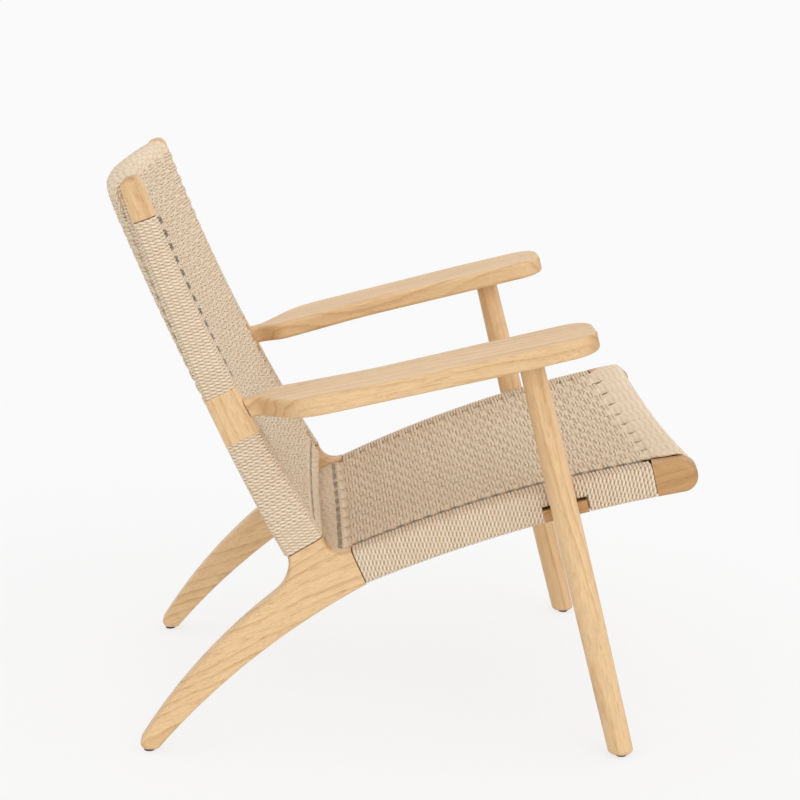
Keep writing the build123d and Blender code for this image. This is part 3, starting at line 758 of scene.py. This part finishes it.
def weave_piece(name, ways, cord, material, *nodes):
    """Makes a piece of strands along the ways, standing for the plain nodes."""
    source = ways_curve(name + "_ways", ways)
    bpy.context.scene.collection.objects.link(source)
    tree = bpy.data.node_groups.get("strand") or strand_tree()
    modifier = source.modifiers.new("strand", "NODES")
    modifier.node_group = tree
    wanted = {"Diameter": cord.diameter, "Sides": cord.sides, "Seed": cord.seed, "Material": material}
    for item in tree.interface.items_tree:
        if item.in_out == "INPUT" and item.name in wanted:
            modifier[item.identifier] = wanted[item.name]
    shown = source.evaluated_get(bpy.context.evaluated_depsgraph_get())
    mesh = bpy.data.meshes.new_from_object(shown)
    curve = source.data
    bpy.data.objects.remove(source)
    bpy.data.curves.remove(curve)
    mesh.name = name
    strip_map(mesh)
    piece = bpy.data.objects.new(name, mesh)
    bpy.context.scene.collection.objects.link(piece)
    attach(piece, BODY)
    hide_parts(*nodes)
    return piece


# Materials
def new_material(name):
    """An empty material; returns it, its tree and its shader."""
    material = bpy.data.materials.new(name)
    material.use_nodes = True
    tree = material.node_tree
    return material, tree, tree.nodes["Principled BSDF"]


def mixed(tree, share, first, second):
    """Mixes two colours; each is a colour or a socket."""
    node = tree.nodes.new("ShaderNodeMix")
    node.data_type = "RGBA"
    for socket, value in ((node.inputs[0], share), (node.inputs[6], first), (node.inputs[7], second)):
        if isinstance(value, bpy.types.NodeSocket):
            link(tree, value, socket)
        else:
            socket.default_value = value if socket.type == "VALUE" else (*value, 1)
    return node.outputs[2]


def noise(tree, coordinates, scale, detail=2.0, roughness=0.5):
    node = tree.nodes.new("ShaderNodeTexNoise")
    node.inputs["Scale"].default_value = scale
    node.inputs["Detail"].default_value = detail
    node.inputs["Roughness"].default_value = roughness
    link(tree, coordinates, node.inputs["Vector"])
    return node.outputs["Fac"]


def turned(tree, coordinates, rotation=(0, 0, 0), location=(0, 0, 0), scale=(1, 1, 1)):
    node = tree.nodes.new("ShaderNodeMapping")
    node.inputs["Rotation"].default_value = rotation
    node.inputs["Location"].default_value = location
    node.inputs["Scale"].default_value = scale
    link(tree, coordinates, node.inputs["Vector"])
    return node.outputs["Vector"]


def bumped(tree, height, depth, shader):
    node = tree.nodes.new("ShaderNodeBump")
    node.inputs["Distance"].default_value = depth
    link(tree, height, node.inputs["Height"])
    link(tree, node.outputs["Normal"], shader.inputs["Normal"])


def stretched_noise(tree, place, scale, detail, roughness=0.5):
    """Noise drawn out along the grain."""
    return noise(tree, turned(tree, place, scale=scale), 1.0, detail, roughness)


def year_rings(tree, place, ring):
    """How far a place is through its year's ring, and how strong the late wood is there."""
    parts = tree.nodes.new("ShaderNodeSeparateXYZ")
    link(tree, place, parts.inputs[0])
    across = math_node(tree, "POWER", parts.outputs[1], 2)
    out = math_node(tree, "POWER", parts.outputs[2], 2)
    radius = math_node(tree, "SQRT", math_node(tree, "ADD", across, out))
    drift = stretched_noise(tree, place, DRIFT_SCALE, 3.0)
    years = math_node(tree, "DIVIDE", math_node(tree, "MULTIPLY_ADD", drift, RING_DRIFT, radius), ring)
    year = math_node(tree, "FRACT", years)
    fall = math_node(tree, "MULTIPLY", math_node(tree, "SUBTRACT", 1.0, year), LATE_FALL)
    fall = math_node(tree, "SMOOTH_MIN", 1.0, fall, LATE_EASE)
    late = math_node(tree, "MULTIPLY", math_node(tree, "POWER", year, LATE_RISE), fall)
    patch = stretched_noise(tree, place, PATCH_SCALE, 2.0)
    return year, math_node(tree, "MULTIPLY", late, math_node(tree, "MULTIPLY_ADD", patch, *PATCH_GAIN))


def end_grain(tree, normal, along):
    """1 on faces cut across the grain, 0 on faces that follow it."""
    facing = tree.nodes.new("ShaderNodeVectorMath")
    facing.operation = "DOT_PRODUCT"
    link(tree, normal, facing.inputs[0])
    facing.inputs[1].default_value = along
    return math_node(tree, "POWER", math_node(tree, "ABSOLUTE", facing.outputs["Value"]), END_SHARPNESS)


def wood_material(name, look, grain, face, middle, pith, depth=0.0):
    """Pale open-grained wood; grain runs along one way, and the pith lies beside the board."""
    material, tree, shader = new_material(name)
    along = Vector(grain).normalized()
    across = Vector(face).cross(along).normalized()
    turn = Matrix((along, across, along.cross(across)))
    coordinates = tree.nodes.new("ShaderNodeTexCoord").outputs
    start = Vector(pith) - turn @ Vector(middle)
    place = turned(tree, coordinates["Object"], turn.to_euler(), start)
    year, late = year_rings(tree, place, look.ring)
    streak = stretched_noise(tree, place, STREAK_SCALE, 3.0, FINE_ROUGHNESS)
    cloud = stretched_noise(tree, place, CLOUD_SCALE, 2.0)
    pores = stretched_noise(tree, place, PORE_SCALE, 2.0, FINE_ROUGHNESS)
    pore = math_node(tree, "GREATER_THAN", pores, PORE_LIMIT)
    share = math_node(tree, "MULTIPLY_ADD", cloud, CLOUD_WEIGHT, TONE_SHIFT)
    share = math_node(tree, "MULTIPLY_ADD", streak, STREAK_WEIGHT, share)
    share = math_node(tree, "MULTIPLY_ADD", late, LATE_WEIGHT, share)
    ends = end_grain(tree, coordinates["Normal"], along)
    share = math_node(tree, "MULTIPLY_ADD", ends, END_WEIGHT, share)
    dark = Vector(look.dark)
    # A deeper board takes a darker colour; on the cross rails this darkening is partly painted shade.
    tone = mixed(tree, share, Vector(look.pale).lerp(dark, depth), dark * (1 - DEEP_TONE * depth))
    dot = math_node(tree, "MULTIPLY", pore, math_node(tree, "MULTIPLY_ADD", year, *PORE_TONE))
    link(tree, mixed(tree, dot, tone, dark * PORE_DARKNESS), shader.inputs["Base Color"])
    least = look.gloss - WOOD_ROUGHENING / 2
    link(tree, math_node(tree, "MULTIPLY_ADD", streak, WOOD_ROUGHENING, least), shader.inputs["Roughness"])
    shader.inputs["Specular IOR Level"].default_value = 0.5
    bumped(tree, math_node(tree, "SUBTRACT", 1.0, pore), look.pore_depth, shader)
    return material


def cord_material(name, look, painted_groove_shade, groove_depth):
    """Twisted paper: two plies that turn round the strand, with painted shade darkening the groove between
    them, and strands of slightly different tone.
    """
    material, tree, shader = new_material(name)
    place = tree.nodes.new("ShaderNodeAttribute")
    place.attribute_name = "strand_place"
    tone = tree.nodes.new("ShaderNodeAttribute")
    tone.attribute_name = "strand_tone"
    parts = tree.nodes.new("ShaderNodeSeparateXYZ")
    link(tree, place.outputs["Vector"], parts.inputs[0])
    across, side, length = parts.outputs
    turn = math_node(tree, "MULTIPLY", length, 2 * pi / look.lay)
    squares = [math_node(tree, "POWER", part, 2) for part in (across, side)]
    double = math_node(tree, "SUBTRACT", *squares)
    cross = math_node(tree, "MULTIPLY", math_node(tree, "MULTIPLY", across, side), 2.0)
    first = math_node(tree, "MULTIPLY", double, math_node(tree, "COSINE", turn))
    second = math_node(tree, "MULTIPLY", cross, math_node(tree, "SINE", turn))
    ply = math_node(tree, "ADD", first, second)
    groove = math_node(tree, "POWER", math_node(tree, "MULTIPLY_ADD", ply, -0.5, 0.5), GROOVE_SHARPNESS)
    objects = tree.nodes.new("ShaderNodeTexCoord").outputs["Object"]
    fibre = math_node(tree, "MULTIPLY", noise(tree, objects, FIBRE_SCALE, 2.0), FIBRE_WEIGHT)
    share = math_node(tree, "MULTIPLY_ADD", tone.outputs["Fac"], 1 - FIBRE_WEIGHT, fibre)
    paper = mixed(tree, share, look.pale, look.tan)
    # Painted shade: the colour darkens towards a deep tan in the groove between the plies, where shade
    # falls.
    shade = math_node(tree, "MULTIPLY", groove, painted_groove_shade)
    colour = mixed(tree, shade, paper, Vector(look.tan) * GROOVE_SHADE_DARKNESS)
    link(tree, colour, shader.inputs["Base Color"])
    shader.inputs["Roughness"].default_value = PAPER_ROUGHNESS
    shader.inputs["Specular IOR Level"].default_value = PAPER_SHINE
    bumped(tree, math_node(tree, "SUBTRACT", 1.0, groove), look.diameter * groove_depth, shader)
    return material


def speckled_material(name, colour, roughness, metallic=0.0):
    """A plain moulded or drawn surface with fine speckle."""
    material, tree, shader = new_material(name)
    objects = tree.nodes.new("ShaderNodeTexCoord").outputs["Object"]
    grain = noise(tree, objects, SPECKLE_SCALE, 3.0)
    link(tree, mixed(tree, grain, colour, Vector(colour) * SPECKLE_TONE), shader.inputs["Base Color"])
    least = roughness - SPECKLE_ROUGHENING / 2
    link(tree, math_node(tree, "MULTIPLY_ADD", grain, SPECKLE_ROUGHENING, least), shader.inputs["Roughness"])
    shader.inputs["Metallic"].default_value = metallic
    bumped(tree, grain, SPECKLE_DEPTH, shader)
    return material


def dress(node, material):
    """Gives a node of the frame its finish."""
    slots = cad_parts[node].data.materials
    slots.clear()
    slots.append(material)


def node_middle(node):
    low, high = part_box(node)
    return (low + high) / 2


# Operators
def wood_grains():
    """Way of the grain, broad face and depth of tone of each kind of board."""
    rail = rail_angle(RAIL_LENGTH / 2)
    post = post_angle(POST_LENGTH / 2)
    return {
        "rear_leg": ((0, 0.93, -0.37), (1, 0, 0), 0.0),
        "heel_block": ((0, cos(RAIL_SLOPE), -sin(RAIL_SLOPE)), (1, 0, 0), 0.08),
        "back_post": ((0, sin(post), cos(post)), (1, 0, 0), 0.05),
        "seat_side_rail": ((sin(SPLAY), -cos(rail), sin(rail)), (1, 0, 0), 0.80),
        "armrest": ((0.08, -0.97, 0.22), (0, 0.22, 0.97), 0.10),
        "front_leg": ((0.017, 0.24, 1), (1, 0, 0), 0.0),
    }


class CHAIR_OT_finish_wood(bpy.types.Operator):
    """Give every wooden piece its own run of grain"""

    bl_idname = "chair.finish_wood"
    bl_label = "Finish wood"

    def execute(self, context):
        look = context.scene.chair_wood
        for kind, (grain, face, depth) in wood_grains().items():
            for side, sign in (("left", 1), ("right", -1)):
                node = f"{kind}_{side}"
                way = (grain[0] * sign, grain[1], grain[2])
                pith = (BOARD_PITH[0] * sign, BOARD_PITH[1] + PITH_SHIFT * sign, BOARD_PITH[2])
                wood = wood_material(node + "_wood", look, way, face, node_middle(node), pith, depth)
                dress(node, wood)
        sideways, upwards = (1, 0, 0), (0, 0, 1)
        # The cross rails show only in the narrow notch gaps under the cord; their darkest tone (depth 1.0)
        # is partly the wood's own brown and partly painted shade for those shaded gaps.
        for node in ("seat_front_rail", "seat_rear_rail", "back_top_rail", "back_bottom_rail"):
            middle = node_middle(node)
            dress(node, wood_material(node + "_wood", look, sideways, upwards, middle, RAIL_PITH, 1.0))
        middle = node_middle("front_leg_dowels")
        wood = wood_material("dowel_wood", look, sideways, upwards, middle, DOWEL_PITH)
        dress("front_leg_dowels", wood)
        return {"FINISHED"}


class CHAIR_OT_finish_feet(bpy.types.Operator):
    """Give the glides and their pins their finish"""

    bl_idname = "chair.finish_feet"
    bl_label = "Finish feet"

    def execute(self, context):
        nylon = speckled_material("glide_nylon", GLIDE_COLOUR, GLIDE_ROUGHNESS)
        for end in ("front", "rear"):
            for side in ("left", "right"):
                dress(f"{end}_glide_{side}", nylon)
        dress("glide_pins", speckled_material("pin_steel", PIN_COLOUR, PIN_ROUGHNESS, 1.0))
        return {"FINISHED"}


def cord_finishes(cord):
    """Finish of the tight warps, whose plies, groove bump and painted groove shade hardly show, and of the
    wefts.
    """
    quiet = bpy.data.materials.get("warp_cord") or cord_material("warp_cord", cord, *WARP_GROOVE)
    lively = bpy.data.materials.get("weft_cord") or cord_material("weft_cord", cord, *WEFT_GROOVE)
    return quiet, lively


class CHAIR_OT_weave_seat(bpy.types.Operator):
    """Weave the cord round the seat"""

    bl_idname = "chair.weave_seat"
    bl_label = "Weave seat"

    def execute(self, context):
        cord = context.scene.chair_cord
        quiet, lively = cord_finishes(cord)
        fields = ("seat_top_weave", "seat_under_weave", "seat_front_wrap", "seat_rear_wrap")
        weave_piece("seat_even_warps", seat_warps(cord, 0), cord, quiet, *fields)
        weave_piece("seat_odd_warps", seat_warps(cord, 1), cord, quiet, *fields)
        wraps = ("seat_side_wrap_left", "seat_side_wrap_right")
        weave_piece("seat_wefts", seat_wefts(cord), cord, lively, *wraps)
        return {"FINISHED"}


class CHAIR_OT_weave_back(bpy.types.Operator):
    """Weave the cord round the back"""

    bl_idname = "chair.weave_back"
    bl_label = "Weave back"

    def execute(self, context):
        cord = context.scene.chair_cord
        quiet, lively = cord_finishes(cord)
        fields = ("back_front_weave", "back_rear_weave", "back_top_wrap", "back_bottom_wrap")
        weave_piece("back_even_warps", back_warps(cord, 0), cord, quiet, *fields)
        weave_piece("back_odd_warps", back_warps(cord, 1), cord, quiet, *fields)
        wraps = ("back_post_wrap_left", "back_post_wrap_right")
        turns = back_wefts(cord) + foot_wraps(cord) + roll_ends(cord)
        weave_piece("back_wefts", turns, cord, lively, *wraps)
        return {"FINISHED"}


def backdrop_rays(tree):
    """1 on rays from the camera, in reflections and through glass, 0 on rays that light the chair."""
    rays = tree.nodes.new("ShaderNodeLightPath").outputs
    mirrored = math_node(tree, "MAXIMUM", rays["Is Glossy Ray"], rays["Is Transmission Ray"])
    return math_node(tree, "MAXIMUM", rays["Is Camera Ray"], mirrored)


def stage_floor(look):
    """A wide plain floor."""
    signs = ((-1, -1), (1, -1), (1, 1), (-1, 1))
    mesh = bpy.data.meshes.new("floor")
    mesh.from_pydata([(x * FLOOR_REACH, y * FLOOR_REACH, 0) for x, y in signs], [], [(0, 1, 2, 3)])
    floor = bpy.data.objects.new("floor", mesh)
    bpy.context.scene.collection.objects.link(floor)
    material, tree, shader = new_material("floor")
    shader.inputs["Base Color"].default_value = (*look.floor, 1)
    shader.inputs["Roughness"].default_value = 1.0
    shader.inputs["Specular IOR Level"].default_value = 0.0
    plain = tree.nodes.new("ShaderNodeEmission")
    plain.inputs["Color"].default_value = (*look.seen, 1)
    blend = tree.nodes.new("ShaderNodeMixShader")
    link(tree, math_node(tree, "MULTIPLY", backdrop_rays(tree), 1 - look.shadow), blend.inputs[0])
    link(tree, shader.outputs[0], blend.inputs[1])
    link(tree, plain.outputs[0], blend.inputs[2])
    link(tree, blend.outputs[0], tree.nodes["Material Output"].inputs["Surface"])
    mesh.materials.append(material)


def stage_light(look):
    """Light from all round and one large soft lamp from above the near side."""
    world = bpy.data.worlds.new("studio")
    world.use_nodes = True
    tree = world.node_tree
    sky = tree.nodes["Background"]
    sky.inputs["Color"].default_value = (1, 1, 1, 1)
    level = math_node(tree, "MULTIPLY_ADD", backdrop_rays(tree), 1 - look.sky, look.sky)
    link(tree, level, sky.inputs["Strength"])
    bpy.context.scene.world = world
    lamp = bpy.data.lights.new("soft_lamp", "SUN")
    lamp.energy = look.lamp
    lamp.angle = LAMP_ANGLE
    holder = bpy.data.objects.new("soft_lamp", lamp)
    holder.rotation_euler = Vector(LAMP_FROM).to_track_quat("Z", "Y").to_euler()
    bpy.context.scene.collection.objects.link(holder)


def stage_camera(look):
    """The camera stands at the chair's right side, a little above it."""
    camera = bpy.data.cameras.new("camera")
    camera.lens = look.lens
    camera.sensor_width = SENSOR_WIDTH
    holder = bpy.data.objects.new("camera", camera)
    holder.location = CAMERA_PLACE
    holder.rotation_euler = Vector(CAMERA_AIM).to_track_quat("-Z", "Y").to_euler()
    bpy.context.scene.collection.objects.link(holder)
    bpy.context.scene.camera = holder


class CHAIR_OT_set_stage(bpy.types.Operator):
    """Set the floor, the light and the camera"""

    bl_idname = "chair.set_stage"
    bl_label = "Set stage"

    def execute(self, context):
        look = context.scene.chair_stage
        stage_floor(look)
        stage_light(look)
        stage_camera(look)
        context.scene.view_settings.view_transform = "Standard"
        return {"FINISHED"}


class CHAIR_PT_panel(bpy.types.Panel):
    """Steps and sizes of the chair"""

    bl_idname = "CHAIR_PT_panel"
    bl_label = "Woven easy chair"
    bl_space_type = "VIEW_3D"
    bl_region_type = "UI"
    bl_category = "Chair"

    def draw(self, context):
        for step in STEPS:
            self.layout.operator(step.bl_idname)
        for group in LOOKS:
            box = self.layout.box()
            settings = getattr(context.scene, group)
            for name in settings.bl_rna.properties.keys():
                if name not in ("rna_type", "name"):
                    box.prop(settings, name)


STEPS = (
    CHAIR_OT_finish_wood,
    CHAIR_OT_finish_feet,
    CHAIR_OT_weave_seat,
    CHAIR_OT_weave_back,
    CHAIR_OT_set_stage,
)
LOOKS = {"chair_wood": WoodLook, "chair_cord": CordLook, "chair_stage": StageLook}


def register():
    for group in LOOKS.values():
        bpy.utils.register_class(group)
    for name, group in LOOKS.items():
        setattr(bpy.types.Scene, name, bpy.props.PointerProperty(type=group))
    for item in (*STEPS, CHAIR_PT_panel):
        bpy.utils.register_class(item)


def unregister():
    for item in reversed((*STEPS, CHAIR_PT_panel)):
        bpy.utils.unregister_class(item)
    for name, group in LOOKS.items():
        delattr(bpy.types.Scene, name)
        bpy.utils.unregister_class(group)


def main():
    """Runs every step in order."""
    register()
    bpy.ops.chair.finish_wood()
    bpy.ops.chair.finish_feet()
    bpy.ops.chair.weave_seat()
    bpy.ops.chair.weave_back()
    bpy.ops.chair.set_stage()


if __name__ == "__main__":
    main()
